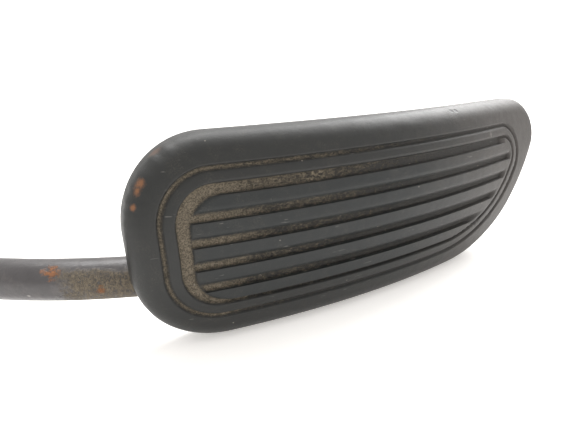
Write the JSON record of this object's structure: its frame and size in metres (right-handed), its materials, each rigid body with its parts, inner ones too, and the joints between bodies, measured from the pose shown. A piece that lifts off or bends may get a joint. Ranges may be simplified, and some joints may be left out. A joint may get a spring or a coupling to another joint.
{
  "type": "accelerator pedal",
  "caption": "Foot-operated lever: a ribbed, bowed rubber tread pad hinged on a bent round rod, sprung and pivoted in a bolt-on bracket.",
  "frame": {"origin": "centre of the four-hole bolt pattern, on the mounting face of the bracket's plate", "axes": "+X from the pivot along the pedal towards the toe end of the pad; +Y out of the mounting face into the wall that it is bolted to, the way the foot pushes; +Z along the pivot axis"},
  "size_m": [0.3845, 0.147, 0.0623],
  "materials": {
    "tread_rubber": "satin moulded, dusty in the grooves",
    "rod_paint": "worn satin black paint with rust patches",
    "bracket_paint": "satin black paint, chipped at the edges",
    "plate_steel": "pressed steel, dull black with light rust",
    "zinc_steel": "dulled zinc plating",
    "spring_steel": "oiled dark spring wire",
    "nylon": "aged natural nylon",
    "buffer_rubber": "matt"
  },
  "bodies": {
    "bracket": {"mounting_plate": "bracket_paint", "pivot_channel": "bracket_paint", "channel_welds": "bracket_paint", "pivot_bush_upper": "nylon", "pivot_bush_lower": "nylon", "stop_cushion": "buffer_rubber", "return_spring": "spring_steel"},
    "pedal": {"pedal_rod": "rod_paint", "pivot_shaft": "zinc_steel", "shaft_weld": "rod_paint", "shaft_washers": "zinc_steel", "shaft_clip": "spring_steel", "spring_sleeve": "nylon", "cable_lever": "bracket_paint", "cable_retainer": "nylon", "stop_bolt": "zinc_steel", "stop_lock_nut": "zinc_steel", "hinge_tube": "rod_paint", "tube_weld": "rod_paint", "hinge_bush_upper": "nylon", "hinge_bush_lower": "nylon", "pad_stop_sleeve": "buffer_rubber"},
    "pad": {"tread_cover": "tread_rubber", "backing_plate": "plate_steel", "hinge_bracket": "plate_steel", "rivets": "zinc_steel", "hinge_pin": "zinc_steel", "pin_clip": "spring_steel", "pad_spring": "spring_steel"}
  },
  "joints": [
    {"name": "pedal_pivot", "type": "hinge", "parent": "bracket", "child": "pedal", "pos_m": [0, -0.03, 0], "axis": [0, 0, 1], "range_deg": [0, 16], "stiffness_Nm_per_rad": 8, "springref_deg": -28.65, "deforming": ["return_spring"]},
    {"name": "pad_tilt", "type": "hinge", "parent": "pedal", "child": "pad", "pos_m": [0.235, -0.1295, -0.0162], "axis": [0, 0, 1], "range_deg": [0, 12], "stiffness_Nm_per_rad": 0.8, "springref_deg": -22.92, "deforming": ["pad_spring"]}
  ]
}
